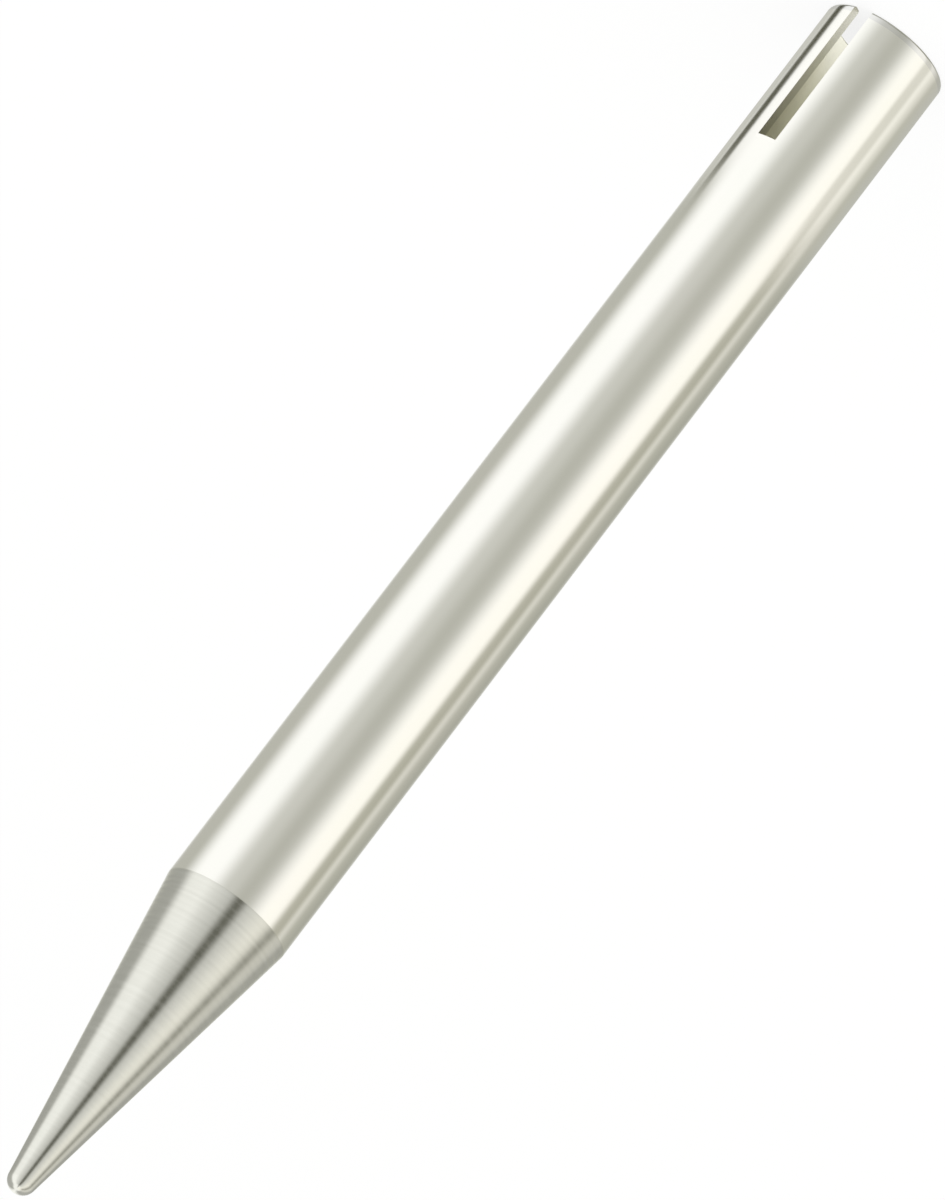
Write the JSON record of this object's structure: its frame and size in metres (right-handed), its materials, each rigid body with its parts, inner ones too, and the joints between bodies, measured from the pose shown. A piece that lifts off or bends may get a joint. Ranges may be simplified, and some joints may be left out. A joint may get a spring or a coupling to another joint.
{
  "type": "soldering iron tip",
  "caption": "Slim slide-on soldering iron tip: a plain plated barrel, blind bored and slit at its open end, that tapers to a small rounded point.",
  "frame": {"origin": "centre of the open end, on the surface that the tip stands on", "axes": "+Z along the barrel towards the point; the slit faces -Y"},
  "size_m": [0.005, 0.005, 0.0537],
  "materials": {
    "plated_copper": "bright nickel plate over fine turning marks, satin on the taper"
  },
  "bodies": {
    "root": {"soldering_tip": "plated_copper"}
  },
  "joints": []
}
